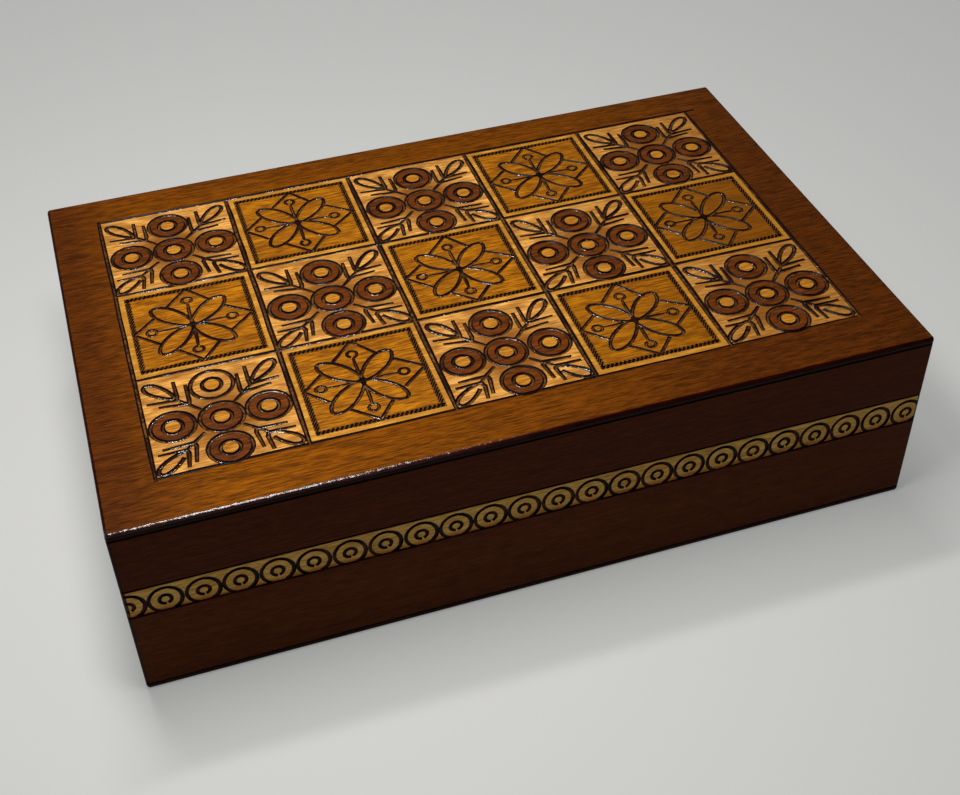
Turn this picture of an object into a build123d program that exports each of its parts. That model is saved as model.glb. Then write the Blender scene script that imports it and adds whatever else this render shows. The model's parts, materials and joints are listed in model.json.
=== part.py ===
from build123d import *
from math import radians, tan
import os

# A hinged wooden box for papers and keepsakes. Four boards, lapped at the corners, stand on a planted
# base and make the box. Four matching rails under a planted top make the lid. Two small brass butt
# hinges join them at the back. Millimetres, +Z up, front towards -Y, origin under the middle of the base.

# Outside of the box and the boards it is made of
box_width = 270.0
box_depth = 176.0
base_thickness = 2.5
wall_height = 43.9
rail_height = 22.1
top_thickness = 2.5
wall_thickness = 8.0
corner_lap = 4.0

# Eased edges: the outer arrises of the whole box, and the board edges that meet at a joint line
edge_round = 1.3
joint_arris = 0.4

# Groove under the ring band, round the front and both ends
band_height = 11.6
groove_depth = 0.6
groove_half_width = 0.5

# Lid opening: the back edges are bevelled, and the bevels stop the lid
opening_angle = 100.0
stop_margin_angle = 1.0
hinge_inset = 2.5
bevel_setback = 0.25

# Brass butt hinges
hinge_end_distance = 50.0
hinge_length = 25.0
leaf_reach = 5.2
leaf_thickness = 0.8
leaf_recess = 0.1
leaf_corner_round = 0.5
knuckle_diameter = 3.2
middle_knuckle_length = 8.4
knuckle_gap = 0.2
knuckle_room = 0.3
pin_diameter = 1.5
pin_proud = 0.3
pin_end_chamfer = 0.2
pin_clearance = 0.05
mortise_clearance = 0.1

# Countersunk brass wood screws
screw_pitch = 15.0
screw_offset = 3.5
screw_length = 7.0
screw_diameter = 1.6
screw_head_diameter = 2.7
countersink_angle = 90.0
screw_tip_length = 1.6
screw_tip_diameter = 0.4
screw_slot_width = 0.4
screw_slot_depth = 0.3
screw_clearance = 0.05
screw_hole_spare = 0.3

# How far a cutter runs past the face it cuts
overrun = 1.0

# Places worked out from the sizes above
half_width = box_width / 2
half_depth = box_depth / 2
seam_z = base_thickness + wall_height
lid_top_z = seam_z + rail_height
groove_z = seam_z - band_height
hinge_y = half_depth - hinge_inset
hinge_centres = {"left": hinge_end_distance - half_width, "right": half_width - hinge_end_distance}
bevel_angle = (opening_angle + stop_margin_angle) / 2
knuckle_radius = knuckle_diameter / 2
screw_y = hinge_y - screw_offset

# Which way a piece faces: the front and left are on the low side, and the box lies below the seam
LOW, HIGH = -1, 1
ENDS = {"left": LOW, "right": HIGH}

os.makedirs("parts", exist_ok=True)


def finish(piece, name):
    """Label a finished piece and write its file."""
    piece.part.label = name
    export_step(piece.part, f"parts/{name}.step")


def screw_places(centres, side):
    """Where screw heads sit on the leaves at these centres, pointing into the box (LOW) or lid (HIGH)."""
    turn = (0, 0, 0) if side == LOW else (180, 0, 0)
    head_z = seam_z + side * leaf_recess
    xs = [x + end * screw_pitch / 2 for x in centres for end in (LOW, HIGH)]
    return [Location((x, screw_y, head_z), turn) for x in xs]


def long_board(side, bottom, height):
    """Front (LOW) or back (HIGH) board, full width, its ends lapped over the end boards."""
    outer_y = side * half_depth
    lap_y = side * (half_depth - corner_lap)
    inner_y = side * (half_depth - wall_thickness)
    shoulder_x = half_width - wall_thickness
    with BuildPart() as board:
        with BuildSketch(Plane.XY.offset(bottom)) as plan:
            with BuildLine():
                Polyline(
                    (-half_width, outer_y),
                    (half_width, outer_y),
                    (half_width, lap_y),
                    (shoulder_x, lap_y),
                    (shoulder_x, inner_y),
                    (-shoulder_x, inner_y),
                    (-shoulder_x, lap_y),
                    (-half_width, lap_y),
                    close=True,
                )
            make_face()
            fillet(plan.vertices().group_by(Axis.Y)[0 if side == LOW else -1], edge_round)
        extrude(amount=height)
        level_edges = board.edges().filter_by(Plane.XY)
        outside = half_depth - corner_lap + joint_arris
        chamfer([edge for edge in level_edges if side * edge.center().Y > outside], joint_arris)
    return board.part


def end_board(side, bottom, height):
    """Left (LOW) or right (HIGH) board, standing between the laps of the long boards."""
    with BuildPart() as board:
        with BuildSketch(Plane.XY.offset(bottom)):
            with Locations((side * (half_width - wall_thickness / 2), 0)):
                Rectangle(wall_thickness, box_depth - 2 * corner_lap)
        extrude(amount=height)
        outer_face = board.faces().sort_by(Axis.X)[0 if side == LOW else -1]
        chamfer(outer_face.edges().filter_by(Axis.Y), joint_arris)
    return board.part


def planted_panel(side, bottom, thickness):
    """Base (LOW) or top (HIGH) board over the whole plan, rounded outside and eased where it is glued."""
    with BuildPart() as panel:
        with BuildSketch(Plane.XY.offset(bottom)):
            RectangleRounded(box_width, box_depth, edge_round)
        extrude(amount=thickness)
        low_face, high_face = panel.faces().filter_by(Axis.Z).sort_by(Axis.Z)
        outer_face, joint_face = (low_face, high_face) if side == LOW else (high_face, low_face)
        chamfer(joint_face.edges(), joint_arris)
        outer_face = panel.faces().filter_by(Axis.Z).sort_by(Axis.Z)[0 if side == LOW else -1]
        fillet(outer_face.edges(), edge_round)
    return panel


def band_groove():
    """V groove under the ring band, along the front and both ends."""
    with BuildPart() as groove:
        with BuildSketch(Plane.YZ):
            with Locations((-half_depth, groove_z)):
                Polygon(
                    (-groove_depth, 0),
                    (0, -groove_half_width),
                    (groove_depth, 0),
                    (0, groove_half_width),
                )
        extrude(amount=half_width + overrun, both=True)
        with BuildSketch(Plane.XZ):
            with Locations((-half_width, groove_z), (half_width, groove_z)):
                Polygon(
                    (-groove_depth, 0),
                    (0, -groove_half_width),
                    (groove_depth, 0),
                    (0, groove_half_width),
                )
        extrude(amount=half_depth + overrun, both=True)
    return groove.part


def hinge_cutter():
    """What the hinges take out of the back boards: stop bevels, leaf mortises and knuckle channels."""
    bevel_reach = hinge_inset + bevel_setback + overrun
    bevel_rise = bevel_reach * tan(radians(bevel_angle))
    mortise_length = hinge_length + 2 * mortise_clearance
    mortise_reach = leaf_reach + mortise_clearance
    mortise_depth = leaf_recess + leaf_thickness
    channel_length = hinge_length + 2 * (pin_proud + mortise_clearance)
    with BuildPart() as cutter:
        with BuildSketch(Plane.YZ):
            with BuildLine():
                Polyline(
                    (hinge_y - bevel_setback, seam_z),
                    (half_depth + overrun, seam_z + bevel_rise),
                    (half_depth + overrun, seam_z - bevel_rise),
                    close=True,
                )
            make_face()
        extrude(amount=half_width + overrun, both=True)
        with Locations(*[(x, hinge_y, seam_z) for x in hinge_centres.values()]):
            Box(
                mortise_length,
                mortise_reach,
                2 * mortise_depth,
                align=(Align.CENTER, Align.MAX, Align.CENTER),
            )
            Cylinder(knuckle_radius + knuckle_room, channel_length, rotation=(0, 90, 0))
    return cutter.part


def hinge_leaf(centre_x, side):
    """Leaf and its knuckles: the outer two on the box (LOW), the middle one on the lid (HIGH)."""
    room = 2 * (knuckle_radius + knuckle_room)
    outer_length = (hinge_length - middle_knuckle_length) / 2
    plate_z = seam_z + side * (leaf_recess + leaf_thickness / 2)
    if side == LOW:
        slot_length = middle_knuckle_length + 2 * knuckle_gap
        slot_offsets = [0]
    else:
        slot_length = outer_length + overrun
        slot_offsets = [end * (middle_knuckle_length + slot_length) / 2 for end in (LOW, HIGH)]
    with BuildPart() as leaf:
        with Locations((centre_x, hinge_y, plate_z)):
            Box(
                hinge_length,
                leaf_reach,
                leaf_thickness,
                align=(Align.CENTER, Align.MAX, Align.CENTER),
            )
        fillet(leaf.edges().filter_by(Axis.Z).group_by(Axis.Y)[0], leaf_corner_round)
        with Locations((centre_x, hinge_y, seam_z)):
            Cylinder(knuckle_radius, hinge_length, rotation=(0, 90, 0))
        with Locations(*[(centre_x + offset, hinge_y, seam_z) for offset in slot_offsets]):
            Box(slot_length, room, room, mode=Mode.SUBTRACT)
        with Locations((centre_x, hinge_y, seam_z)):
            Cylinder(
                pin_diameter / 2 + pin_clearance,
                hinge_length + overrun,
                rotation=(0, 90, 0),
                mode=Mode.SUBTRACT,
            )
        with Locations(*screw_places([centre_x], side)):
            CounterSinkHole(
                screw_diameter / 2 + screw_clearance,
                screw_head_diameter / 2 + screw_clearance,
                leaf_thickness + overrun,
                countersink_angle,
            )
    return leaf


def hinge_pin(centre_x):
    """Pin through the knuckles, a little proud of both ends."""
    with BuildPart() as pin:
        with Locations((centre_x, hinge_y, seam_z)):
            Cylinder(pin_diameter / 2, hinge_length + 2 * pin_proud, rotation=(0, 90, 0))
        chamfer(pin.edges().filter_by(GeomType.CIRCLE), pin_end_chamfer)
    return pin


def wood_screw():
    """One countersunk screw, its head's face at the origin and its point down, with a slotted head."""
    head_height = (screw_head_diameter - screw_diameter) / 2 / tan(radians(countersink_angle / 2))
    with BuildPart() as screw:
        with BuildSketch(Plane.XZ):
            with BuildLine():
                Polyline(
                    (0, 0),
                    (screw_head_diameter / 2, 0),
                    (screw_diameter / 2, -head_height),
                    (screw_diameter / 2, screw_tip_length - screw_length),
                    (screw_tip_diameter / 2, -screw_length),
                    (0, -screw_length),
                    close=True,
                )
            make_face()
        revolve(axis=Axis.Z)
        Box(screw_head_diameter + overrun, screw_slot_width, 2 * screw_slot_depth, mode=Mode.SUBTRACT)
    return screw.part


# Base and top
base_panel = planted_panel(LOW, 0, base_thickness)
finish(base_panel, "base_panel")

top_panel = planted_panel(HIGH, lid_top_z, top_thickness)
finish(top_panel, "top_panel")

# Front and back boards of the box and of the lid
ring_groove = band_groove()
hinge_cuts = hinge_cutter()
box_front = long_board(LOW, base_thickness, wall_height)
box_back = long_board(HIGH, base_thickness, wall_height)
lid_front = long_board(LOW, seam_z, rail_height)
lid_back = long_board(HIGH, seam_z, rail_height)

with BuildPart() as front_wall:
    add(box_front)
    add(ring_groove, mode=Mode.SUBTRACT)
finish(front_wall, "front_wall")

with BuildPart() as back_wall:
    add(box_back)
    add(ring_groove, mode=Mode.SUBTRACT)
    add(hinge_cuts, mode=Mode.SUBTRACT)
    with Locations(*screw_places(hinge_centres.values(), LOW)):
        Hole(screw_diameter / 2 + screw_clearance, screw_length + screw_hole_spare)
finish(back_wall, "back_wall")

with BuildPart() as lid_front_rail:
    add(lid_front)
finish(lid_front_rail, "lid_front_rail")

with BuildPart() as lid_back_rail:
    add(lid_back)
    add(hinge_cuts, mode=Mode.SUBTRACT)
    with Locations(*screw_places(hinge_centres.values(), HIGH)):
        Hole(screw_diameter / 2 + screw_clearance, screw_length + screw_hole_spare)
finish(lid_back_rail, "lid_back_rail")

# End boards of the box and of the lid
for end_name, end_side in ENDS.items():
    box_end = end_board(end_side, base_thickness, wall_height)
    lid_end = end_board(end_side, seam_z, rail_height)
    with BuildPart() as end_wall:
        add(box_end)
        add(ring_groove, mode=Mode.SUBTRACT)
    finish(end_wall, f"{end_name}_wall")
    with BuildPart() as end_rail:
        add(lid_end)
    finish(end_rail, f"lid_{end_name}_rail")

# Hinges
for hinge_name, hinge_x in hinge_centres.items():
    finish(hinge_leaf(hinge_x, LOW), f"{hinge_name}_hinge_box_leaf")
    finish(hinge_leaf(hinge_x, HIGH), f"{hinge_name}_hinge_lid_leaf")
    finish(hinge_pin(hinge_x), f"{hinge_name}_hinge_pin")

# Hinge screws
one_screw = wood_screw()
for owner, side in (("box", LOW), ("lid", HIGH)):
    with BuildPart() as hinge_screws:
        with Locations(*screw_places(hinge_centres.values(), side)):
            add(one_screw)
    finish(hinge_screws, f"{owner}_hinge_screws")
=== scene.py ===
import functools
import json
import math
import random

import bpy
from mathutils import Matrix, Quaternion, Vector


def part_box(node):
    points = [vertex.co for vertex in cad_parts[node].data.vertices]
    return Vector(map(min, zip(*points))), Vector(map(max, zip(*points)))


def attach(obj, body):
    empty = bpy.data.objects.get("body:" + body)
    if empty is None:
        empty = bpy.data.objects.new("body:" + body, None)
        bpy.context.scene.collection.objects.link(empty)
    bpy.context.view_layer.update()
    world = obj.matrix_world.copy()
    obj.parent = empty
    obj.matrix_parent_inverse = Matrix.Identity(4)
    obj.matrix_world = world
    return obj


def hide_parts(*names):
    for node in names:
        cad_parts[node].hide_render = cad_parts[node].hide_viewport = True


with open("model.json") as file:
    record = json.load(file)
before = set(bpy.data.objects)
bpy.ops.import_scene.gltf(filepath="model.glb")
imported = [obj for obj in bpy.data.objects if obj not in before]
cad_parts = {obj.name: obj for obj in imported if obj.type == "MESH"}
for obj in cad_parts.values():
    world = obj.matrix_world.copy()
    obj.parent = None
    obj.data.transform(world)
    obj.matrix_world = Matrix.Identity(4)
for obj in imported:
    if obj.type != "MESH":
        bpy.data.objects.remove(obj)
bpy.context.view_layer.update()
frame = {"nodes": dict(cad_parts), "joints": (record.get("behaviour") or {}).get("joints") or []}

hand = random.Random(11)

# Sizes are in millimetres. The boards' own sizes come from the frame.
MM = 0.001
half_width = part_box("top_panel")[1].x / MM
half_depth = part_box("top_panel")[1].y / MM
top_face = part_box("top_panel")[1].z / MM
top_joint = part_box("top_panel")[0].z / MM
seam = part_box("lid_front_rail")[0].z / MM
base_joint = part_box("front_wall")[0].z / MM
hinge_line = frame["joints"][0]["pos_m"][1] / MM

# The burning pen leaves a line with scorched shoulders, charred walls and a paler floor that is a shallow V
line_half_width = 0.84
shoulder_half_width = 0.70
shoulder_depth = 0.07
floor_half_width = 0.30
floor_middle_half_width = floor_half_width / 12
floor_rise = 0.08
line_depth = 0.56
eye_line_depth = 0.72
cutter_lift = 0.30

# The carved field: five tiles by three, a little nearer to the back of the top
tile = 47.0
tile_columns = 5
tile_rows = 3
field_shift = 1.25
field_half_x = tile * tile_columns / 2
field_half_y = tile * tile_rows / 2

# How far the lines round the field run past its corners, as a hand leaves them
upright_overrun = (0.6, 1.6)
level_overrun = (0.0, 0.8)
back_right_overrun = 4.5

# The rosette tile, from its middle: five rosettes in a cross
rosettes = {
    "middle": (0.2, -2.2),
    "left": (-15.0, -2.0),
    "right": (15.3, -2.0),
    "back": (0.0, 13.8),
    "front": (0.4, -17.1),
}
rosette_radius = 6.85
rosette_eye_radius = 3.15

# A corner's spray: a stem with a leaf at its end, and strokes that come down, turn at a knee and run level
back_spray = {
    "stem": ((5.2, 3.2), (8.7, 6.8), (12.0, 10.2)),
    "leaf": ((12.4, 11.0), (20.8, 19.8)),
    "leaf_drawn": 0.96,
    "strokes": (
        ((8.4, 16.7), (8.2, 9.0), (8.7, 6.9), (18.2, 8.2)),
        ((11.5, 19.3), (11.4, 11.6), (11.7, 9.8), (21.2, 10.7))),
}
front_spray = {
    "stem": ((6.0, -7.7), (9.5, -11.0), (13.0, -14.2)),
    "leaf": ((13.0, -14.3), (22.2, -22.0)),
    "leaf_drawn": 0.86,
    "strokes": (
        ((10.3, -20.0), (9.2, -12.8), (9.7, -11.1), (19.4, -11.5)),
        ((13.1, -22.0), (12.2, -15.7), (12.8, -14.0), (21.4, -14.0))),
}
leaf_half_width = 2.5
leaf_fullness = 0.55
leaf_widening = 0.55
leaf_split = 11

# The petal tile: a square of rope, and in it a flower with buds inside a broken diamond
rope_half = 20.0
rope_bed_half_width = 1.02
rope_bed_depth = 0.07
rope_cut_half_width = 0.41
rope_cut_floor_half_width = rope_cut_half_width / 3
rope_cut_depth = 0.36
rope_marks = 27
level_mark_reach = (0.58, 0.76)
upright_mark_reach = (0.76, 1.3)
heart_off_middle = (-0.8, -0.5)
heart_char_radius = 2.2
petal_reach = 12.1
petal_half_width = 3.95
petal_fullness = 0.62
petal_widening = 0.5
petal_tip_narrowing = 0.25
bud_reach = 13.6
bud_radius = 1.8
bud_wind = 0.35
bud_sweep = 342
bud_stem_from_heart = 1.7
bud_stem_to_bud = 1.9
bud_stem_bow = 0.2
diamond_end_out = 11.95
diamond_end_across = 7.15

# The ring band along the upper edge of the box, with angles in degrees
band_height = 11.6
band_foot = seam - band_height
ring_pitch = 11.48
ring_radius = 5.08
ring_height = 4.75
ring_start = -66
ring_sweep = 312
ring_swell = 0.1
ring_cut_half_width = 0.5
ring_floor_half_width = ring_cut_half_width * 0.7
ring_cut_depth = 0.4
ring_shoulder_depth = ring_cut_depth / 8
ring_eye_radius = 1.86
ring_eye_start = (-80, -60)
ring_eye_sweep = 344
front_ring_inset = 0.9
front_ring_overrun = 3
end_ring_inset = 6

# How wide the pen draws each line, as a share of its tip's full width; two numbers are a range or two ends
upright_frame_pen = 1.0
upright_inner_pen = 1.22
level_frame_pen = 0.95
level_inner_pen = 0.92
front_frame_pen = (0.8, 0.42)
rosette_pen = 0.94
rosette_eye_pen = 0.9
leaf_pen = 0.98
stem_pen = 0.95
stroke_pen = 1.05
stroke_end_pen = (0.85, 1.05)
level_mark_pen = 1.22
upright_mark_pen = 0.76
petal_pen = 0.86
bud_pen = 0.72
upright_bud_stem_pen = 0.8
level_bud_stem_pen = 0.66
diamond_pen = 0.82
ring_pen = 1.5
ring_end_pen = 1.15
ring_eye_pen = 1.25
uneven_pen = (0.94, 1.06)
lifted_pen = 0.75

# How far the hand strays from where a thing belongs, and from a true circle as a share of its radius
grid_stray = 0.1
rosette_stray = 0.18
leaf_stray = 0.3
stroke_stray = 0.3
spray_point_stray = 0.12
rope_mark_stray = 0.04
heart_stray = 0.3
petal_tip_stray = 0.5
bud_stray = 0.25
diamond_stray = 0.25
ring_stray = 0.12
roundness_stray = 0.02

# How the faces of the carved boards are told apart: by depth, by margin, and by how level they lie
flat_depth = 0.004
floor_depth = 0.2
carving_depth = 1.2
carving_margin = 4
rope_slack = 0.01
lightly_drawn_reach = 1
level_flat = 0.9999
level_rope = 0.95
level_floor = 0.85
level_round = 0.35
level_underside = -0.9
ring_below_band = 0.6
ring_below_seam = 0.45
ring_face_depth = 0.7

# What is merged or dissolved in a carved mesh, and the angle in degrees up to which it is smooth
merge_distance = 0.001
sliver_width = 0.0005
smooth_angle = 25


# Lines that the pen draws

def round_line(centre, radius, steps, start=0.0, sweep=360.0, wind=0.0):
    """Points of a circle, or of an arc that winds inwards by wind, with a hand's small unevenness."""
    count = steps if abs(sweep) == 360.0 else steps + 1
    squash = hand.uniform(-roundness_stray, roundness_stray)
    points = []
    for step in range(count):
        angle = math.radians(start + sweep * step / steps)
        reach = radius - wind * step / steps
        x = centre[0] + reach * (1 + squash) * math.cos(angle)
        y = centre[1] + reach * (1 - squash) * math.sin(angle)
        points.append((x, y))
    return points


def bowed_line(begin, end, bow=0.0, steps=4):
    """Points from begin to end along a shallow bow, which stands off the straight line by bow."""
    begin = Vector(begin)
    end = Vector(end)
    side = (end - begin).orthogonal().normalized()
    points = []
    for step in range(steps + 1):
        share = step / steps
        points.append(begin.lerp(end, share) + side * bow * 4 * share * (1 - share))
    return points


def leaf_line(base, tip, half_across, drawn, steps=16):
    """A leaf's outline from its base round the tip, left open before it comes back to the base."""
    base = Vector(base)
    axis = Vector(tip) - base
    side = axis.orthogonal().normalized()
    points = []
    for step in range(steps + 1):
        angle = 2 * math.pi * drawn * step / steps
        along = (1 - math.cos(angle)) / 2
        across = half_across * math.sin(angle) * (leaf_fullness + leaf_widening * along)
        points.append(base + axis * along + side * across)
    return points


def petal_edge(heart, tip, half_across, steps=9):
    """One edge of a petal, from the flower's heart out to the petal's tip."""
    heart = Vector(heart)
    axis = Vector(tip) - heart
    side = axis.orthogonal().normalized()
    points = []
    for step in range(steps + 1):
        angle = math.pi * step / steps
        along = (1 - math.cos(angle)) / 2
        across = half_across * math.sin(angle) * (petal_fullness + petal_widening * along)
        across *= 1 - petal_tip_narrowing * along ** 4
        points.append(heart + axis * along + side * across)
    return points


def shaken(point, stray):
    """A point as the hand puts it, off by up to stray."""
    return point[0] + hand.uniform(-stray, stray), point[1] + hand.uniform(-stray, stray)


class Drawing:
    """Lines in layers. Lines of one layer never cross, so each layer is one clean cutter."""

    def __init__(self):
        self.layers = {}

    def draw(self, layer, points, width=1.0, closed=False, tapered=True, end_width=None, swell=0.0):
        """Adds a line. Its width can change to end_width; a ring can swell away from its ends."""
        last = len(points) - 1
        change = 0.0 if end_width is None else end_width - width
        widths = []
        for step in range(last + 1):
            here = width + change * step / last - swell * math.cos(2 * math.pi * step / last)
            widths.append(here * hand.uniform(*uneven_pen))
        if not closed and tapered:
            widths[0] *= lifted_pen
            widths[-1] *= lifted_pen
        self.layers.setdefault(layer, []).append((points, widths, closed))


# The field's grid and its two tiles

def grid_lines(drawing):
    """The lines between the tiles and round the field. The front line thins out towards the right."""
    for column in range(tile_columns + 1):
        x = column * tile - field_half_x
        outer = column in (0, tile_columns)
        width = upright_frame_pen if outer else upright_inner_pen
        past = hand.uniform(*upright_overrun) if outer else 0.0
        begin = (x, field_shift - field_half_y - past)
        end = (x, field_shift + field_half_y + past)
        points = [shaken(point, grid_stray) for point in bowed_line(begin, end, steps=12)]
        drawing.draw("upright grid", points, width)
    for row in range(tile_rows + 1):
        y = field_shift + row * tile - field_half_y
        outer = row in (0, tile_rows)
        width = level_frame_pen if outer else level_inner_pen
        past = hand.uniform(*level_overrun) if outer else 0.0
        begin = (-field_half_x - past, y)
        end = (field_half_x + past + (back_right_overrun if row == tile_rows else 0), y)
        points = [shaken(point, grid_stray) for point in bowed_line(begin, end, steps=20)]
        begin_width, end_width = front_frame_pen if row == 0 else (width, width)
        drawing.draw("level grid", points, begin_width, end_width=end_width)


def rosette_tile(drawing, eyes, centre):
    """Five stained rosettes in a cross, with a spray in each corner. Returns the rosettes' places."""
    places = {}
    for name, (x, y) in rosettes.items():
        place = shaken((centre[0] + x, centre[1] + y), rosette_stray)
        places[name] = place
        ring = round_line(place, rosette_radius, steps=44)
        drawing.draw("middle rings" if name == "middle" else "outer rings", ring, rosette_pen, closed=True)
        eye = round_line(place, rosette_eye_radius, steps=28)
        eyes.draw("rosette eyes", eye, rosette_eye_pen, closed=True)
    for spray in (back_spray, front_spray):
        for mirror in (-1, 1):
            corner_spray(drawing, spray, centre, mirror)
    return places


def in_corner(point, centre, mirror):
    """A spray's point in the left or right corner of a tile."""
    return centre[0] + mirror * point[0], centre[1] + point[1]


def corner_spray(drawing, spray, centre, mirror):
    """A leaf, its stem and the two bent strokes beside it."""
    base, tip = [shaken(in_corner(point, centre, mirror), leaf_stray) for point in spray["leaf"]]
    outline = leaf_line(base, tip, mirror * leaf_half_width, spray["leaf_drawn"])
    drawing.draw("leaves", outline[:leaf_split + 1], leaf_pen, tapered=False)
    drawing.draw("leaf returns", outline[leaf_split:], leaf_pen, tapered=False)
    stem = [shaken(in_corner(point, centre, mirror), spray_point_stray) for point in spray["stem"]]
    drawing.draw("stems", stem, stem_pen)
    for layer, stroke in zip(("inner strokes", "outer strokes"), spray["strokes"]):
        sway = shaken((0.0, 0.0), stroke_stray)
        bent = []
        for point in stroke:
            x, y = in_corner(point, centre, mirror)
            bent.append(shaken((x + sway[0], y + sway[1]), spray_point_stray))
        drawing.draw(layer, bent, stroke_pen, end_width=hand.uniform(*stroke_end_pen))


def petal_tile(drawing, beds, ropes, centre):
    """A four-petal flower with curled buds in a broken diamond, in a square of rope. Returns its heart."""
    rope_square(beds, ropes, centre)
    heart = shaken((centre[0] + heart_off_middle[0], centre[1] + heart_off_middle[1]), heart_stray)
    for turn in (-1, 1):
        petal_pair(drawing, heart, turn)
    for quarter in range(4):
        bud_in_diamond(drawing, centre, heart, quarter)
    return heart


def rope_square(beds, ropes, centre):
    """Twisted rope: a shallow bed, with slanting marks along it."""
    corners = [(centre[0] + x * rope_half, centre[1] + y * rope_half)
               for x, y in ((-1, -1), (1, -1), (1, 1), (-1, 1))]
    beds.draw("rope beds", corners, closed=True)
    for mark in range(rope_marks + 1):
        along = rope_half * (2 * mark / rope_marks - 1)
        for side in (-1, 1):
            level = (centre[0] + along, centre[1] + side * rope_half)
            rope_mark(ropes, "level rope", level, level_mark_reach, level_mark_pen)
            if 0 < mark < rope_marks:
                upright = (centre[0] + side * rope_half, centre[1] + along)
                rope_mark(ropes, "upright rope", upright, upright_mark_reach, upright_mark_pen)


def rope_mark(ropes, layer, middle, reach, width):
    middle = shaken(middle, rope_mark_stray)
    begin = (middle[0] - reach[0], middle[1] - reach[1])
    end = (middle[0] + reach[0], middle[1] + reach[1])
    ropes.draw(layer, [begin, end], width, tapered=False)


def petal_pair(drawing, heart, turn):
    """Two petals in a row, whose edges run from tip to tip through the heart."""
    tips = [shaken((heart[0] + end * petal_reach, heart[1] + end * turn * petal_reach), petal_tip_stray)
            for end in (-1, 1)]
    for edge in (-1, 1):
        first = petal_edge(heart, tips[0], edge * petal_half_width)
        second = petal_edge(heart, tips[1], edge * petal_half_width)
        line = list(reversed(first)) + second[1:]
        drawing.draw("petals %d %d" % (turn, edge), line, petal_pen, tapered=False)


def bud_in_diamond(drawing, centre, heart, quarter):
    """A bud on its stem between two petals, and the corner of the diamond beyond it."""
    heading = quarter * math.pi / 2
    upright = quarter % 2 == 1
    out = Vector((math.cos(heading), math.sin(heading)))
    across = out.orthogonal()
    origin = Vector(heart)
    bud = Vector(shaken(origin + out * bud_reach, bud_stray))
    if upright:
        sweep = hand.choice((-1, 1)) * bud_sweep
        hook = round_line(bud, bud_radius, 18, math.degrees(heading) + 180, sweep, bud_wind)
        drawing.draw("buds", hook, bud_pen, tapered=False)
    else:
        drawing.draw("buds", round_line(bud, bud_radius - bud_wind / 2, steps=18), bud_pen, closed=True)
    stem = bowed_line(origin + out * bud_stem_from_heart, bud - out * bud_stem_to_bud, bud_stem_bow, steps=3)
    drawing.draw("bud stems", stem, upright_bud_stem_pen if upright else level_bud_stem_pen)
    corner = Vector(centre) + out * rope_half
    for side, layer in ((-1, "diamond left"), (1, "diamond right")):
        end = shaken(origin + out * diamond_end_out + across * side * diamond_end_across, diamond_stray)
        drawing.draw(layer, bowed_line(corner, end, steps=2), diamond_pen, tapered=False)


# Materials

# Limewood's grain, as length and width. Fibres and pores are drawn coarser than real, so that they show.
fibre_size = (6, 0.5)
growth_band_size = (40, 2.4)
pore_size = (3.2, 0.45)
grain_drift_size = 45
grain_sway = 1.6

# Sizes of what lies on the wood: toasted patches, lacquer in runs, pools and beads, char and pen strokes
toast_patch_size = (9.0, 4.0)
lacquer_run_size = 2.4
floor_char_size = 1.6
floor_press_size = 14
floor_pool_size = 8
floor_bead_size = 0.9
line_char_size = 0.5
line_press_size = 6

# Where the colours change along the top, from where there is none of the change to where it is full. The
# darkening towards the right and at the border's back is painted shade, where the light falls off; the
# border is also darker at its left end
painted_falloff_rightwards = (32, 104)
bleed_reach = (20, 9)
bleed_widening = 6
border_shade_right = (-70, 115)
border_darker_left = (-92, -128)
border_shade_back = (55, 85)

# Stains as hex colours of dark fibres, light fibres and pores. On the border the dark walnut also stands for
# painted shade.
bare_limewood = ("#C79B62", "#E2BD86", "#A87C48")
dark_walnut = ("#3A1A02", "#602E06", "#201002")

# Brass: how large the spots of tarnish are, and how long and wide the scratches
tarnish_size = 2.5
brass_scratch_size = (4.0, 0.12)

# Sockets of a Mix node that mixes colours: its inputs and its output
SHARE, UNDER, OVER = 0, 6, 7
MIXED = 2


def colour(text):
    """An sRGB hex colour as linear red, green, blue and alpha."""
    linear = []
    for place in (1, 3, 5):
        share = int(text[place:place + 2], 16) / 255
        linear.append(share / 12.92 if share <= 0.04045 else ((share + 0.055) / 1.055) ** 2.4)
    return linear + [1.0]


def add_node(tree, kind, inputs=(), **settings):
    """Adds a shader node, sets its properties, and sets or links its inputs, which are given in order or by
    name or number. Returns its outputs."""
    node = tree.nodes.new("ShaderNode" + kind)
    for name, value in settings.items():
        setattr(node, name, value)
    for socket, value in inputs.items() if isinstance(inputs, dict) else enumerate(inputs):
        if isinstance(value, bpy.types.NodeSocket):
            tree.links.new(value, node.inputs[socket])
        else:
            node.inputs[socket].default_value = value
    return node.outputs


def new_material(name):
    """An empty material, and the function that adds nodes to it."""
    material = bpy.data.materials.new(name)
    material.use_nodes = True
    material.node_tree.nodes.clear()
    return material, functools.partial(add_node, material.node_tree)


def stretched(along, length, width):
    """Mapping scale for a pattern that is length long down the grain and width across it."""
    scale = [1 / (width * MM)] * 3
    scale["XY".index(along)] = 1 / (length * MM)
    return scale


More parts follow.
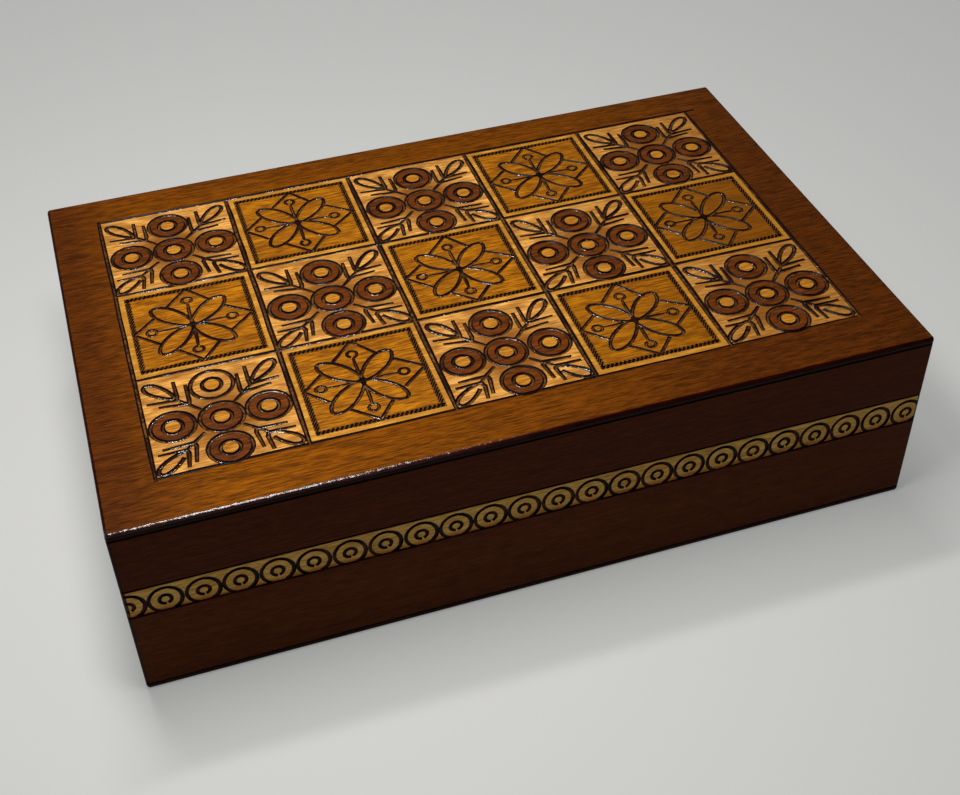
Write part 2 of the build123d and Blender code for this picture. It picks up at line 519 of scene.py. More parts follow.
def wood_grain(add, along):
    """Limewood's close grain: fine fibres, soft growth bands and short pores. Returns tone and pores."""
    place = add("TexCoord")["Object"]
    drift = add("TexNoise", {"Vector": place, "Scale": 1 / (grain_drift_size * MM), "Detail": 1.0})
    sway = [grain_sway * MM] * 3
    sway["XY".index(along)] = 0.0
    swayed = add("VectorMath", (drift["Color"], sway, place), operation="MULTIPLY_ADD")["Vector"]
    layers = []
    for (length, width), detail in ((fibre_size, 2.0), (growth_band_size, 2.0), (pore_size, 1.0)):
        mapped = add("Mapping", {"Vector": swayed, "Scale": stretched(along, length, width)})["Vector"]
        noise = add("TexNoise", {"Vector": mapped, "Scale": 1.0, "Detail": detail, "Roughness": 0.62})
        layers.append(noise["Fac"])
    fibres, bands, pores = layers
    summed = add("Math", (bands, 0.3, fibres), operation="MULTIPLY_ADD")[0]
    tone = add("MapRange", (summed, 0.51, 0.79))["Result"]
    pitted = add("MapRange", (pores, 0.6, 0.74))["Result"]
    return tone, pitted


def stained_colour(add, tone, pores, dark, light, pore):
    """Stain over grain: light and dark fibres, with pores that took more stain."""
    fibres = add("Mix", {SHARE: tone, UNDER: colour(dark), OVER: colour(light)}, data_type="RGBA")
    sunk_in = add("Math", (pores, 0.4), operation="MULTIPLY")[0]
    pored = add("Mix", {SHARE: sunk_in, UNDER: fibres[MIXED], OVER: colour(pore)}, data_type="RGBA")
    return pored[MIXED]


def lacquered(add, base, tone, pores, shine=0.05, coat=0.16, coat_roughness=0.13, lumps=0.0):
    """Wood under brushed lacquer: a soft sheen from the wood, a clear gloss on top, lumps where it ran."""
    height = add("Math", (tone, pores), operation="SUBTRACT")[0]
    wood = add("Bump", {"Height": height, "Strength": 0.5, "Distance": 0.03 * MM})["Normal"]
    if lumps:
        place = add("TexCoord")["Object"]
        runs = add("TexNoise", {"Vector": place, "Scale": 1 / (lacquer_run_size * MM), "Detail": 2.0})
        film = add("Bump", {"Height": runs["Fac"], "Distance": lumps * MM})["Normal"]
    else:
        film = add("Bump", {"Height": height, "Strength": 0.2, "Distance": 0.02 * MM})["Normal"]
    return add("BsdfPrincipled", {
        "Base Color": base, "Roughness": 0.45, "IOR": 1.5, "Specular IOR Level": shine, "Normal": wood,
        "Coat Weight": coat, "Coat Roughness": coat_roughness, "Coat Normal": film})["BSDF"]


def places_in_mm(add):
    """The surface's own x, y and z in millimetres."""
    place = add("TexCoord")["Object"]
    scaled = add("VectorMath", (place, [1 / MM] * 3), operation="MULTIPLY")["Vector"]
    return add("SeparateXYZ", (scaled,))


def distance_from(add, coordinate, place):
    """How far a coordinate lies from a place, on either side."""
    offset = add("Math", (coordinate, place), operation="SUBTRACT")[0]
    return add("Math", (offset,), operation="ABSOLUTE")[0]


def distance_in(add, coordinate, half):
    """How far inside plus or minus half a coordinate lies."""
    size = add("Math", (coordinate,), operation="ABSOLUTE")[0]
    return add("Math", (half, size), operation="SUBTRACT")[0]


def depth_below_top(add):
    return add("Math", (top_face, places_in_mm(add)[2]), operation="SUBTRACT")[0]


def depth_behind_walls(add):
    x, y, _ = places_in_mm(add)
    from_end = distance_in(add, x, half_width)
    from_face = distance_in(add, y, half_depth)
    return add("Math", (from_end, from_face), operation="MINIMUM")[0]


def towards_front_right(add, x, y, slant):
    """How far right a place is, where the front counts as further right by slant."""
    leaning = add("Math", (y, slant), operation="MULTIPLY")[0]
    return add("Math", (x, leaning), operation="SUBTRACT")[0]


def from_tile_middle(add, x, y):
    """How far a place on the top is from the middle rosette of its tile."""
    in_field = add("Math", (y, field_shift), operation="SUBTRACT")[0]
    offsets = []
    for place, middle in zip((x, in_field), rosettes["middle"]):
        in_tile = add("Math", (place, tile / 2, -tile / 2), operation="WRAP")[0]
        offsets.append(add("Math", (in_tile, middle), operation="SUBTRACT")[0])
    off_middle = add("CombineXYZ", offsets)["Vector"]
    return add("VectorMath", (off_middle,), operation="LENGTH")["Value"]


def toast_and_shade_share(add, patchy, shade_rightwards, gathered):
    """How much of the toast colour shows: as toasting in patches and round each tile's middle, and as
    painted shade towards the right, where the light falls off.
    """
    place = add("TexCoord")["Object"]
    spread = add("Mapping", {"Vector": place, "Scale": stretched("X", *toast_patch_size)})["Vector"]
    patches = add("TexNoise", {"Vector": spread, "Scale": 1.0, "Detail": 2.0})["Fac"]
    patched = add("MapRange", (patches, 0.38, 0.62))["Result"]
    share = add("Math", (patched, patchy), operation="MULTIPLY")[0]
    x, y, _ = places_in_mm(add)
    # Towards the right the toast colour is painted shade, and the darkening round the middles widens there
    to_right = towards_front_right(add, x, y, slant=0.3)
    on_right = add("MapRange", (to_right, *painted_falloff_rightwards))["Result"]
    falloff_shade = add("Math", (on_right, shade_rightwards), operation="MULTIPLY")[0]
    share = add("Math", (share, falloff_shade), operation="MAXIMUM")[0]
    if gathered:
        wider = add("Math", (on_right, bleed_widening), operation="MULTIPLY")[0]
        from_bleed = add("Math", (from_tile_middle(add, x, y), wider), operation="SUBTRACT")[0]
        bled = add("MapRange", (from_bleed, *bleed_reach))["Result"]
        near = add("Math", (bled, gathered), operation="MULTIPLY")[0]
        share = add("Math", (share, near), operation="MAXIMUM")[0]
    return share


def limewood_stain(name, dark, light, pore, toast_and_shade=None, patchy=0.85, shade_rightwards=0.75, gathered=0.0):
    """Limewood stained in one tile colour and lacquered. Its toast colour shows as toasting in patches and,
    by the share gathered, round the middle of a tile, where the rosettes' stain bled, and as painted shade
    towards the right, where the light falls off."""
    material, add = new_material(name)
    tone, pores = wood_grain(add, "X")
    stain = stained_colour(add, tone, pores, dark, light, pore)
    if toast_and_shade:
        share = toast_and_shade_share(add, patchy, shade_rightwards, gathered)
        stain = add("Mix", {SHARE: share, UNDER: stain, OVER: colour(toast_and_shade)}, data_type="RGBA")[MIXED]
    add("OutputMaterial", {"Surface": lacquered(add, stain, tone, pores)})
    return material


def limewood_border():
    """Walnut-stained limewood round the field. It darkens as painted shade towards the front right and the
    back, where the light falls off, and is darker at its left end.
    """
    material, add = new_material("limewood_walnut_stain_gloss_lacquer")
    tone, pores = wood_grain(add, "X")
    plain_walnut = stained_colour(add, tone, pores, "#5A2E00", "#965200", "#341A00")
    darker_walnut = stained_colour(add, tone, pores, *dark_walnut)
    x, y, _ = places_in_mm(add)
    # Painted shade: darker towards the front right and the back
    to_right = towards_front_right(add, x, y, slant=0.5)
    on_right = add("MapRange", (to_right, *border_shade_right))["Result"]
    on_left = add("MapRange", (x, *border_darker_left))["Result"]
    at_back = add("MapRange", (y, *border_shade_back))["Result"]
    darker_share = add("Math", (on_right, on_left), operation="MAXIMUM")[0]
    back_shade = add("Math", (at_back, 0.6), operation="MULTIPLY")[0]
    darker_share = add("Math", (darker_share, back_shade), operation="MAXIMUM")[0]
    stain = add("Mix", {SHARE: darker_share, UNDER: plain_walnut, OVER: darker_walnut}, data_type="RGBA")[MIXED]
    add("OutputMaterial", {"Surface": lacquered(add, stain, tone, pores, shine=0.02)})
    return material


def scorched_floor():
    """The floor of a burnt line: scorched brown wood, unevenly burnt, with lacquer pooled in stretches."""
    material, add = new_material("limewood_scorched_floor_gloss_lacquer")
    place = add("TexCoord")["Object"]
    char, press, pool, beads = [
        add("TexNoise", {"Vector": place, "Scale": 1 / (size * MM), "Detail": detail})["Fac"]
        for size, detail in ((floor_char_size, 2.0), (floor_press_size, 1.0),
                             (floor_pool_size, 2.0), (floor_bead_size, 1.0))]
    floor = colour("#2A1608")
    for noise, low, high, over in ((char, 0.35, 0.65, "#6E4A22"), (press, 0.45, 0.65, "#22120A")):
        share = add("MapRange", (noise, low, high))["Result"]
        floor = add("Mix", {SHARE: share, UNDER: floor, OVER: colour(over)}, data_type="RGBA")[MIXED]
    bump = add("Bump", {"Height": char, "Strength": 1.0, "Distance": 0.3 * MM})["Normal"]
    pooled = add("MapRange", (pool, 0.47, 0.57))["Result"]
    beaded = add("Bump", {"Height": beads, "Distance": 0.15 * MM})["Normal"]
    shader = add("BsdfPrincipled", {
        "Base Color": floor, "Roughness": 0.5, "IOR": 1.5, "Specular IOR Level": 0.05, "Normal": bump,
        "Coat Weight": pooled, "Coat Roughness": 0.08, "Coat Normal": beaded})["BSDF"]
    add("OutputMaterial", {"Surface": shader})
    return material


def burnt_line(name, depth_of, coat, light_touch):
    """Charred limewood under lacquer: scorched shoulders, black walls, browner where the pen was light."""
    material, add = new_material(name)
    place = add("TexCoord")["Object"]
    char, press = [
        add("TexNoise", {"Vector": place, "Scale": 1 / (size * MM), "Detail": detail})["Fac"]
        for size, detail in ((line_char_size, 2.0), (line_press_size, 1.0))]
    lightly = add("MapRange", (press, 0.44, 0.64))["Result"]
    below_shoulder = add("MapRange", (depth_of(add), 0.01, 0.07))["Result"]
    scorched, walls = [
        add("Mix", {SHARE: share, UNDER: colour(dark), OVER: colour(pale)}, data_type="RGBA")[MIXED]
        for share, dark, pale in ((char, "#240A04", "#42200C"), (lightly, "#100301", light_touch))]
    burnt = add("Mix", {SHARE: below_shoulder, UNDER: scorched, OVER: walls}, data_type="RGBA")[MIXED]
    bump = add("Bump", {"Height": char, "Strength": 0.6, "Distance": 0.08 * MM})["Normal"]
    shader = add("BsdfPrincipled", {
        "Base Color": burnt, "Roughness": 0.5, "IOR": 1.5, "Specular IOR Level": 0.05, "Normal": bump,
        "Coat Weight": coat, "Coat Roughness": 0.10, "Coat Normal": bump})["BSDF"]
    add("OutputMaterial", {"Surface": shader})
    return material


# How colour lies on the boards: where the outside ends, where edges soften, where the walnut turns lighter
# downwards and how wide dark lines are; the dark lines at the joints and the groove hold painted shade
outer_skin = (0.95, 0.7)
behind_hinge = (hinge_line - 0.4, hinge_line - 0.2)
soft_edge = 0.1
band_bleed = (band_foot + 2.6, band_foot + 0.8)
lighter_below_seam = (seam, seam - 2 * band_height)
dark_corner = (1.3, 0.5)
dark_joint = (0.55, 0.3)
dark_groove = (0.6, 0.35)


def outside_share(add, y, from_end, from_face):
    """1 on the outer faces and behind the hinges, and 0 inside the box and the lid."""
    inwards = add("Math", (from_end, from_face), operation="MINIMUM")[0]
    outer = add("MapRange", (inwards, *outer_skin))["Result"]
    behind = add("MapRange", (y, *behind_hinge))["Result"]
    return add("Math", (outer, behind), operation="MAXIMUM")[0]


def off_back_share(add, y, from_end):
    """1 on the ends and in front of the middle, and 0 on the back, where there is no band."""
    on_end = add("MapRange", (from_end, *outer_skin))["Result"]
    in_front = add("MapRange", (y, soft_edge, -soft_edge))["Result"]
    return add("Math", (on_end, in_front), operation="MAXIMUM")[0]


def band_share(add, z, off_back):
    """1 on the pale band between the groove and the seam."""
    above_groove = add("MapRange", (z, band_foot - soft_edge, band_foot + soft_edge))["Result"]
    below_seam = add("MapRange", (z, seam + soft_edge, seam - soft_edge))["Result"]
    between = add("Math", (above_groove, below_seam), operation="MULTIPLY")[0]
    return add("Math", (between, off_back), operation="MULTIPLY")[0]


def dark_line_and_shade_share(add, z, from_end, from_face, band, off_back):
    """1 along the corners, the joints and the groove, where the colour goes almost black: stain gathered
    there, with painted shade in the joints and the groove.
    """
    off_corner = add("Math", (from_end, from_face), operation="MAXIMUM")[0]
    corner = add("MapRange", (off_corner, *dark_corner))["Result"]
    off_band = add("Math", (1.0, band), operation="SUBTRACT")[0]
    dark = add("Math", (corner, off_band), operation="MULTIPLY")[0]
    for height in (base_joint, seam, top_joint):
        joint = add("MapRange", (distance_from(add, z, height), *dark_joint))["Result"]
        dark = add("Math", (dark, joint), operation="MAXIMUM")[0]
    groove = add("MapRange", (distance_from(add, z, band_foot), *dark_groove))["Result"]
    groove = add("Math", (groove, off_back), operation="MULTIPLY")[0]
    return add("Math", (dark, groove), operation="MAXIMUM")[0]


def limewood_board(along):
    """Boards of the box and lid: walnut stain outside, with the pale band, and bare oiled wood inside."""
    material, add = new_material("limewood_board_walnut_stain_lacquer_" + along)
    tone, pores = wood_grain(add, along)
    walnut = stained_colour(add, tone, pores, "#3A1503", "#4A1E04", "#240C02")
    lighter_walnut = stained_colour(add, tone, pores, "#421B05", "#542708", "#2A1004")
    pale = stained_colour(add, tone, pores, "#A0742E", "#CCA254", "#7C521E")
    bled = stained_colour(add, tone, pores, "#7A4412", "#A0621E", "#5A2C0C")
    bare = stained_colour(add, tone, pores, *bare_limewood)
    x, y, z = places_in_mm(add)
    from_end = distance_in(add, x, half_width)
    from_face = distance_in(add, y, half_depth)
    off_back = off_back_share(add, y, from_end)
    band = band_share(add, z, off_back)
    dark_lines_and_shade = dark_line_and_shade_share(add, z, from_end, from_face, band, off_back)
    bleeding = add("MapRange", (z, *band_bleed))["Result"]
    # The walnut turns lighter further below the seam
    further_below = add("MapRange", (z, *lighter_below_seam))["Result"]
    pale = add("Mix", {SHARE: bleeding, UNDER: pale, OVER: bled}, data_type="RGBA")[MIXED]
    coated = walnut
    # Near black along corners, joints and groove: stain, with painted shade in the joints and groove
    for share, over in ((further_below, lighter_walnut), (band, pale), (dark_lines_and_shade, colour("#120603"))):
        coated = add("Mix", {SHARE: share, UNDER: coated, OVER: over}, data_type="RGBA")[MIXED]
    outside = outside_share(add, y, from_end, from_face)
    shown = add("Mix", {SHARE: outside, UNDER: bare, OVER: coated}, data_type="RGBA")[MIXED]
    add("OutputMaterial", {"Surface": lacquered(add, shown, tone, pores, shine=0.02, coat=0.03)})
    return material


def limewood_panel_edge():
    """The steep edge of the top panel: dark stain, darkened almost black as painted shade, with little
    gloss.
    """
    material, add = new_material("limewood_edge_dark_stain_painted_shade_satin")
    tone, pores = wood_grain(add, "X")
    # Almost black: dark stain with painted shade
    stain = stained_colour(add, tone, pores, "#120502", "#260B04", "#080201")
    add("OutputMaterial", {"Surface": lacquered(add, stain, tone, pores, shine=0.03, coat=0.04)})
    return material


def limewood_rounded_edge():
    """The panel's rounded upper edge: it darkens downwards as painted shade, and lacquer ran thick and lumpy
    at the front left."""
    material, add = new_material("limewood_rounded_edge_thick_lacquer")
    tone, pores = wood_grain(add, "X")
    upper = stained_colour(add, tone, pores, *dark_walnut)
    shaded_lower = stained_colour(add, tone, pores, "#180301", "#300803", "#0C0201")
    # Painted shade: darker down the rounding, where it turns from the light
    shade_downwards = add("MapRange", (depth_below_top(add), 0.02, 0.12))["Result"]
    stain = add("Mix", {SHARE: shade_downwards, UNDER: upper, OVER: shaded_lower}, data_type="RGBA")[MIXED]
    x, y, _ = places_in_mm(add)
    at_front = add("MapRange", (y, 4 - half_depth, 2 - half_depth))["Result"]
    on_left = add("MapRange", (x, 10, -50))["Result"]
    run = add("Math", (at_front, on_left), operation="MULTIPLY")[0]
    coat = add("Math", (run, 0.05), operation="MAXIMUM")[0]
    shader = lacquered(add, stain, tone, pores, shine=0.02, coat=coat, coat_roughness=0.20, lumps=0.30)
    add("OutputMaterial", {"Surface": shader})
    return material


def limewood_base():
    """The thin base: bare underneath, with a dark edge: stain, darkened as painted shade where the box meets
    the floor.
    """
    material, add = new_material("limewood_base_bare_dark_edge")
    tone, pores = wood_grain(add, "X")
    bare = stained_colour(add, tone, pores, *bare_limewood)
    edge = add("Mix", {SHARE: tone, UNDER: colour("#140804"), OVER: colour("#2A1408")}, data_type="RGBA")
    # Painted shade along the edge, where the box meets the floor
    at_edge = add("MapRange", (depth_behind_walls(add), 1.0, 0.7))["Result"]
    shown = add("Mix", {SHARE: at_edge, UNDER: bare, OVER: edge[MIXED]}, data_type="RGBA")[MIXED]
    add("OutputMaterial", {"Surface": lacquered(add, shown, tone, pores, shine=0.03, coat=0.04)})
    return material


def worked_brass(name, tint, roughness):
    """Rolled, drawn or turned brass, slightly tarnished, with fine scratches from its making."""
    material, add = new_material(name)
    place = add("TexCoord")["Object"]
    tarnish = add("TexNoise", {"Vector": place, "Scale": 1 / (tarnish_size * MM), "Detail": 3.0})["Fac"]
    drawn = add("Mapping", {"Vector": place, "Scale": stretched("X", *brass_scratch_size)})["Vector"]
    scratches = add("TexNoise", {"Vector": drawn, "Scale": 1.0})["Fac"]
    base = add("Mix", {SHARE: tarnish, UNDER: colour(tint), OVER: colour("#7A5A26")}, data_type="RGBA")
    dulled = add("MapRange", (tarnish, 0.2, 0.8))["Result"]
    rough = add("Math", (dulled, 0.2, roughness), operation="MULTIPLY_ADD")[0]
    bump = add("Bump", {"Height": scratches, "Strength": 0.3, "Distance": 0.01 * MM})["Normal"]
    shader = add("BsdfPrincipled", {
        "Base Color": base[MIXED], "Metallic": 1.0, "Roughness": rough, "Normal": bump})["BSDF"]
    add("OutputMaterial", {"Surface": shader})
    return material


# Carving

def pen_tip(name, half_outline):
    """The outline that a line is cut with, mirrored about the middle of the line."""
    outline = list(half_outline) + [(-x, y) for x, y in reversed(half_outline)]
    curve = bpy.data.curves.new(name, "CURVE")
    curve.dimensions = "2D"
    spline = curve.splines.new("POLY")
    spline.points.add(len(outline) - 1)
    for point, (x, y) in zip(spline.points, outline):
        point.co = (x * MM, y * MM, 0, 1)
    spline.use_cyclic_u = True
    tip = bpy.data.objects.new(name, curve)
    bpy.context.collection.objects.link(tip)
    return tip


def cutters_from(drawing, tip, place, turn=(0, 0, 0)):
    """One closed mesh for each layer of a drawing, laid on the face at place, turned to face outwards."""
    made = []
    for layer, lines in drawing.layers.items():
        curve = bpy.data.curves.new(layer, "CURVE")
        curve.dimensions = "2D"
        curve.fill_mode = "NONE"
        curve.bevel_mode = "OBJECT"
        curve.bevel_object = tip
        curve.use_fill_caps = True
        for points, widths, closed in lines:
            spline = curve.splines.new("POLY")
            spline.points.add(len(points) - 1)
            for point, (x, y), width in zip(spline.points, points, widths):
                point.co = (x * MM, y * MM, 0, 1)
                point.radius = width
            spline.use_cyclic_u = closed
        cutter = bpy.data.objects.new(layer, curve)
        bpy.context.collection.objects.link(cutter)
        made.append(cutter)
    bpy.ops.object.select_all(action="DESELECT")
    for cutter in made:
        cutter.select_set(True)
    bpy.context.view_layer.objects.active = made[0]
    bpy.ops.object.convert(target="MESH")
    for cutter in made:
        cutter.rotation_euler = [math.radians(angle) for angle in turn]
        cutter.location = Vector(place) * MM
    bpy.ops.object.transform_apply(location=True, rotation=True, scale=True)
    merge_selected()
    return made


def merge_selected():
    bpy.ops.object.mode_set(mode="EDIT")
    bpy.ops.mesh.select_all(action="SELECT")
    bpy.ops.mesh.remove_doubles(threshold=merge_distance * MM)
    bpy.ops.object.mode_set(mode="OBJECT")


def carved_copy(node, name, cutters):
    """A copy of a board with the burnt lines cut into it."""
    board = bpy.data.objects.new(name, frame["nodes"][node].data.copy())
    bpy.context.collection.objects.link(board)
    bpy.ops.object.select_all(action="DESELECT")
    board.select_set(True)
    bpy.context.view_layer.objects.active = board
    bpy.ops.mesh.customdata_custom_splitnormals_clear()
    merge_selected()
    group = bpy.data.collections.new(name + "_cutters")
    for cutter in cutters:
        group.objects.link(cutter)
    carve = board.modifiers.new("burnt_lines", "BOOLEAN")
    carve.operation = "DIFFERENCE"
    carve.solver = "MANIFOLD"
    carve.operand_type = "COLLECTION"
    carve.collection = group
    bpy.ops.object.modifier_apply(modifier=carve.name)
    bpy.data.collections.remove(group)
    bpy.ops.object.mode_set(mode="EDIT")
    bpy.ops.mesh.select_all(action="SELECT")
    bpy.ops.mesh.quads_convert_to_tris(quad_method="BEAUTY", ngon_method="BEAUTY")
    bpy.ops.mesh.dissolve_degenerate(threshold=sliver_width * MM)
    bpy.ops.object.mode_set(mode="OBJECT")
    bpy.ops.object.shade_smooth_by_angle(angle=math.radians(smooth_angle))
    board.data.materials.clear()
    keep_flats_flat(board)
    return board


def keep_flats_flat(board):
    """Sharp edges round every flat, so that rounded edges and lines don't shade into it."""
    bpy.ops.object.mode_set(mode="EDIT")
    bpy.ops.mesh.select_all(action="DESELECT")
    bpy.ops.object.mode_set(mode="OBJECT")
    for face in board.data.polygons:
        face.select = max(map(abs, face.normal)) > level_flat
    bpy.ops.object.mode_set(mode="EDIT")
    bpy.ops.mesh.select_mode(type="FACE")
    bpy.ops.mesh.region_to_loop()
    bpy.ops.mesh.mark_sharp()
    bpy.ops.object.mode_set(mode="OBJECT")


def line_outline(depth):
    """Half of a burnt line's section, from above the face down its shoulder and wall to its floor."""
    outer = 2 * line_half_width - shoulder_half_width
    return ((outer, cutter_lift), (outer, shoulder_depth), (shoulder_half_width, -shoulder_depth),
            (floor_half_width, floor_rise - depth), (floor_middle_half_width, -depth))


line_tip = pen_tip("line_tip", line_outline(line_depth))
eye_tip = pen_tip("eye_tip", line_outline(eye_line_depth))
bed_tip = pen_tip("bed_tip", ((rope_bed_half_width, cutter_lift), (rope_bed_half_width, -rope_bed_depth)))
rope_tip = pen_tip("rope_tip", (
    (rope_cut_half_width, cutter_lift), (rope_cut_half_width, -rope_bed_depth),
    (rope_cut_floor_half_width, -rope_cut_depth)))
ring_tip = pen_tip("ring_tip", (
    (ring_cut_half_width, cutter_lift), (ring_cut_half_width, -ring_shoulder_depth),
    (ring_floor_half_width, -ring_cut_depth)))


# The carved top

def tile_middle(column, row):
    """The middle of a tile, counted from the front left."""
    return (column - (tile_columns - 1) / 2) * tile, field_shift + (row - (tile_rows - 1) / 2) * tile


lines = Drawing()
eyes = Drawing()
beds = Drawing()
ropes = Drawing()
rosette_places = {}
flower_hearts = {}
grid_lines(lines)
for row in range(tile_rows):
    for column in range(tile_columns):
        middle = tile_middle(column, row)
        if (row + column) % 2 == 0:
            rosette_places[middle] = rosette_tile(lines, eyes, middle)
        else:
            flower_hearts[middle] = petal_tile(lines, beds, ropes, middle)

top_cutters = []
for drawing, tip in ((lines, line_tip), (eyes, eye_tip), (beds, bed_tip), (ropes, rope_tip)):
    top_cutters += cutters_from(drawing, tip, (0, 0, top_face))
carved_top = carved_copy("top_panel", "carved_top_board", top_cutters)

BORDER, ROUND, EDGE, BARE, GROUND, AMBER, STRIP, RED_BROWN, EYE, BURNT, FLOOR, ROPE = range(12)
# The tile stains darken towards the right by their toast colour, as painted shade
for finish in (
        limewood_border(),
        limewood_rounded_edge(),
        limewood_panel_edge(),
        limewood_stain("limewood_bare_oiled", *bare_limewood),
        limewood_stain("limewood_natural_gloss_lacquer", "#AC6C24", "#ECAE56", "#8E541A",
                       toast_and_shade="#743F08", patchy=0.55, shade_rightwards=0.56, gathered=0.85),
        limewood_stain("limewood_amber_stain_gloss_lacquer", "#703D02", "#C2790B", "#562D02",
                       toast_and_shade="#683802", patchy=0.45),
        limewood_stain("limewood_honey_stain_gloss_lacquer", "#A06618", "#DA9E3E", "#7C4C10",
                       toast_and_shade="#A66C1C"),
        limewood_stain("limewood_red_brown_stain_gloss_lacquer", "#3E1C04", "#743808", "#280E02"),
        limewood_stain("limewood_pale_eye_gloss_lacquer", "#905610", "#C6862A", "#6E420C"),
        burnt_line("limewood_burnt_line_gloss_lacquer", depth_below_top, 0.04, "#240B04"),
        scorched_floor(),
        limewood_stain("limewood_rope_toasted_gloss_lacquer", "#4A2A08", "#84561C", "#301A04")):
    carved_top.data.materials.append(finish)


def tile_at(x, y):
    """The middle of the tile nearest to a place."""
    column = min(max(round(x / tile + (tile_columns - 1) / 2), 0), tile_columns - 1)
    row = min(max(round((y - field_shift) / tile + (tile_rows - 1) / 2), 0), tile_rows - 1)
    return tile_middle(column, row)


def stain_at(x, y):
    """Which stain a flat of the carved top took, by the place of its middle."""
    if abs(x) > field_half_x or abs(y - field_shift) > field_half_y:
        return BORDER
    middle = tile_at(x, y)
    if middle in flower_hearts:
        return AMBER if max(abs(x - middle[0]), abs(y - middle[1])) < rope_half else STRIP
    # One rosette, at the back of the front left tile, was left unstained
    unstained = "back" if middle == tile_middle(0, 0) else None
    for name, place in rosette_places[middle].items():
        away = math.dist((x, y), place)
        if away < rosette_eye_radius:
            return EYE
        if away < rosette_radius and name != unstained:
            return RED_BROWN
    return GROUND


def burn_at(x, y, depth, normal):
    """Which finish a face of a burnt line or of the rope took."""
    middle = tile_at(x, y)
    if middle in flower_hearts:
        off_rope = abs(max(abs(x - middle[0]), abs(y - middle[1])) - rope_half)
        if off_rope < rope_bed_half_width + rope_slack:
            return BURNT if depth > rope_bed_depth + rope_slack or normal.z < level_rope else ROPE
        if math.dist((x, y), flower_hearts[middle]) < heart_char_radius:
            return BURNT
    lightly_drawn = y < field_shift - field_half_y + lightly_drawn_reach
    return FLOOR if depth > floor_depth and normal.z > level_floor and not lightly_drawn else BURNT


for face in carved_top.data.polygons:
    x, y, z = face.center / MM
    depth = top_face - z
    in_field = abs(x) < half_width - carving_margin and abs(y) < half_depth - carving_margin
    if depth < flat_depth:
        face.material_index = stain_at(x, y)
    elif depth < carving_depth and in_field:
        face.material_index = burn_at(x, y, depth, face.normal)
    elif face.normal.z < level_underside:
        face.material_index = BARE
    else:
        face.material_index = ROUND if face.normal.z > level_round else EDGE
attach(carved_top, "lid")
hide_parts("top_panel")


# The ring band, which runs along the front and both ends

def ring_row(first, last):
    """Rings with an open eye between two places along a face, which is drawn from its lower left."""
    drawing = Drawing()
    count = int((last - first) / ring_pitch) + 1
    for number in range(count):
        centre = shaken((first + number * ring_pitch, ring_height), ring_stray)
        layer = "rings %s" % ("even" if number % 2 else "odd")
        ring = round_line(centre, ring_radius, 36, ring_start, ring_sweep)
        drawing.draw(layer, ring, ring_pen, tapered=False, end_width=ring_end_pen, swell=-ring_swell)
        eye = round_line(centre, ring_eye_radius, 20, hand.uniform(*ring_eye_start), ring_eye_sweep)
        drawing.draw("ring eyes", eye, ring_eye_pen, tapered=False)
    return drawing


front_rings = ring_row(front_ring_inset - half_width, half_width + front_ring_overrun)
left_rings = ring_row(end_ring_inset - half_depth, half_depth - end_ring_inset)
right_rings = ring_row(end_ring_inset - half_depth, half_depth - end_ring_inset)
ring_cutters = []
for rings, place, turn in (
        (front_rings, (0, -half_depth, band_foot), (90, 0, 0)),
        (left_rings, (-half_width, 0, band_foot), (90, 0, -90)),
        (right_rings, (half_width, 0, band_foot), (90, 0, 90))):
    ring_cutters += cutters_from(rings, ring_tip, place, turn)

boards_along_x = limewood_board("X")
boards_along_y = limewood_board("Y")
burnt_ring = burnt_line("limewood_burnt_ring_lacquer", depth_behind_walls, 0.05, "#3A160A")
BOARD, RING = range(2)
banded_walls = {"front_wall": boards_along_x, "left_wall": boards_along_y, "right_wall": boards_along_y}
for wall, board in banded_walls.items():
    banded = carved_copy(wall, "banded_" + wall, ring_cutters)
    banded.data.materials.append(board)
    banded.data.materials.append(burnt_ring)
    for face in banded.data.polygons:
        x, y, z = face.center / MM
        inwards = min(half_width - abs(x), half_depth - abs(y))
        in_band = band_foot - ring_below_band < z < seam - ring_below_seam
        face.material_index = RING if in_band and flat_depth < inwards < ring_face_depth else BOARD
    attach(banded, "box")
    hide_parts(wall)

for leftover in top_cutters + ring_cutters + [line_tip, eye_tip, bed_tip, rope_tip, ring_tip]:
    bpy.data.objects.remove(leftover)

# The boards and hinges that keep their own shape
brass = worked_brass("brass_pressed_sheet", "#C9A24A", 0.26)
pins = worked_brass("brass_drawn_wire", "#BF9A48", 0.22)
screws = worked_brass("brass_turned_screw", "#C4A050", 0.24)
finishes = {
    "base_panel": limewood_base(),
    "back_wall": boards_along_x,
    "lid_front_rail": boards_along_x,
    "lid_back_rail": boards_along_x,
    "lid_left_rail": boards_along_y,
    "lid_right_rail": boards_along_y,
    "left_hinge_box_leaf": brass,
    "left_hinge_lid_leaf": brass,
    "right_hinge_box_leaf": brass,
    "right_hinge_lid_leaf": brass,
    "left_hinge_pin": pins,
    "right_hinge_pin": pins,
    "box_hinge_screws": screws,
    "lid_hinge_screws": screws,
}
for name, finish in finishes.items():
    shown = frame["nodes"][name].data
    shown.materials.clear()
    shown.materials.append(finish)


# Floor, light and camera

# Places and sizes of the floor and the lamps are in metres
floor_size = 40
floor_place = (0, 0, -0.05 * MM)
floor_glow = 0.4
lamp_aim = (0, 0, 0.05)
world_glow = 0.14
backdrop_heights = (0.45, 0.28)


def seen_rays(add):
    """1 for a ray that the eye sees, straight or through gloss or glass, and 0 for one that only lights."""
    rays = add("LightPath")
    seen = add("Math", (rays["Is Camera Ray"], rays["Is Glossy Ray"]), operation="MAXIMUM")[0]
    return add("Math", (seen, rays["Is Transmission Ray"]), operation="MAXIMUM")[0]


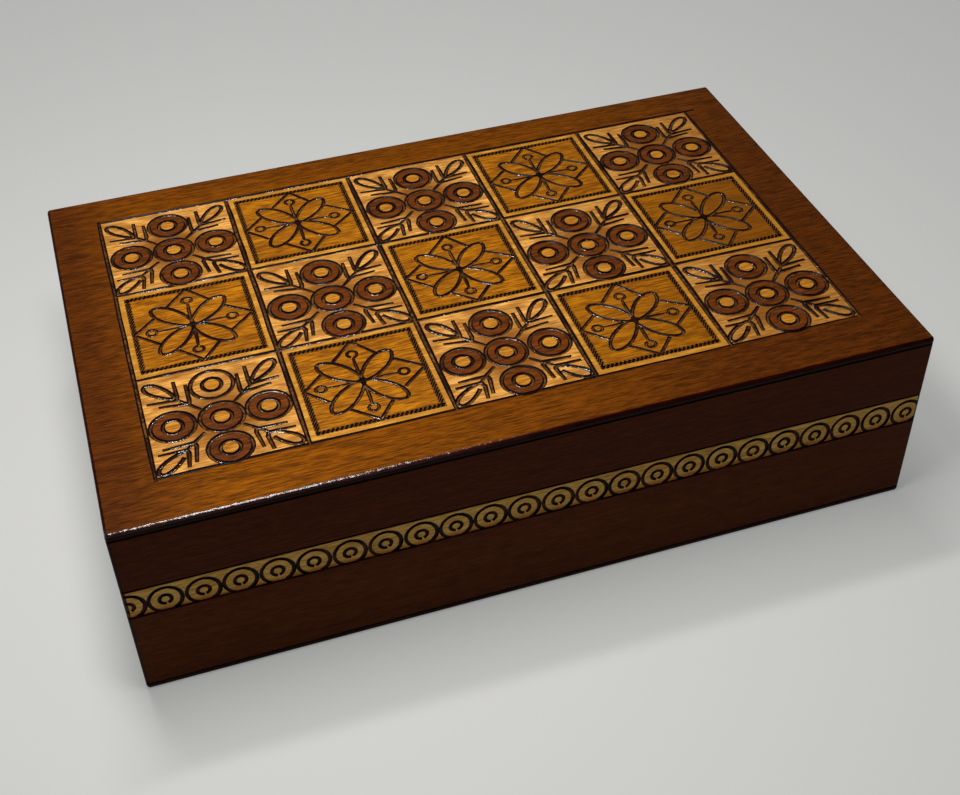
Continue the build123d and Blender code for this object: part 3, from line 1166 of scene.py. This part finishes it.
def studio_floor():
    bpy.ops.object.select_all(action="DESELECT")
    bpy.ops.mesh.primitive_plane_add(size=floor_size, location=floor_place)
    floor = bpy.context.object
    floor.name = "floor"
    material, add = new_material("pale_matt_table")
    matt = add("BsdfPrincipled", {
        "Base Color": colour("#DCDBD8"), "Roughness": 0.7, "Specular IOR Level": 0.2})["BSDF"]
    pale = add("Emission", {"Color": colour("#C8C9C6")})["Emission"]
    share = add("Math", (seen_rays(add), floor_glow), operation="MULTIPLY")[0]
    both = add("MixShader", (share, matt, pale))["Shader"]
    add("OutputMaterial", {"Surface": both})
    floor.data.materials.append(material)


def soft_lamp(name, place, depth, width, watts):
    lamp = bpy.data.lights.new(name, "AREA")
    lamp.shape = "RECTANGLE"
    lamp.size = depth
    lamp.size_y = width
    lamp.energy = watts
    holder = bpy.data.objects.new(name, lamp)
    bpy.context.collection.objects.link(holder)
    holder.visible_camera = False
    holder.location = place
    holder.rotation_euler = (Vector(lamp_aim) - Vector(place)).to_track_quat("-Z", "Y").to_euler()


def studio_light():
    soft_lamp("lamp_overhead", (-0.10, -0.04, 0.40), depth=0.26, width=0.055, watts=1.22)
    soft_lamp("lamp_softbox", (-0.08, 0.46, 1.20), depth=0.50, width=0.08, watts=5.0)
    world = bpy.data.worlds.new("studio")
    bpy.context.scene.world = world
    world.use_nodes = True
    world.node_tree.nodes.clear()
    add = functools.partial(add_node, world.node_tree)
    glow = add("Background", {"Color": colour("#C9CBCE"), "Strength": world_glow})[0]
    # Near the horizon the backdrop is as pale as the far floor, so that the floor's end doesn't show
    backdrop = add("Background", {"Color": colour("#8D8E8C")})[0]
    away = add("TexCoord")["Generated"]
    height = add("SeparateXYZ", (away,))["Z"]
    low = add("MapRange", (height, *backdrop_heights))["Result"]
    share = add("Math", (seen_rays(add), low), operation="MULTIPLY")[0]
    both = add("MixShader", (share, glow, backdrop))["Shader"]
    add("OutputWorld", {"Surface": both})


def photo_camera():
    """The photograph's viewing angle: lens, place, heading east of north, tilt down and roll."""
    camera = bpy.data.cameras.new("camera")
    camera.sensor_width = 36
    camera.lens = 52.8
    holder = bpy.data.objects.new("camera", camera)
    bpy.context.collection.objects.link(holder)
    heading = math.radians(17.29)
    tilt = math.radians(41.62)
    roll = math.radians(-1.41)
    level = math.cos(tilt)
    ahead = Vector((math.sin(heading) * level, math.cos(heading) * level, -math.sin(tilt)))
    turn = ahead.to_track_quat("-Z", "Y") @ Quaternion((0, 0, 1), roll)
    holder.location = Vector((-113.55, -382.60, 365.22)) * MM
    holder.rotation_euler = turn.to_euler()
    bpy.context.scene.camera = holder


studio_floor()
studio_light()
photo_camera()
bpy.context.scene.view_settings.view_transform = "Standard"
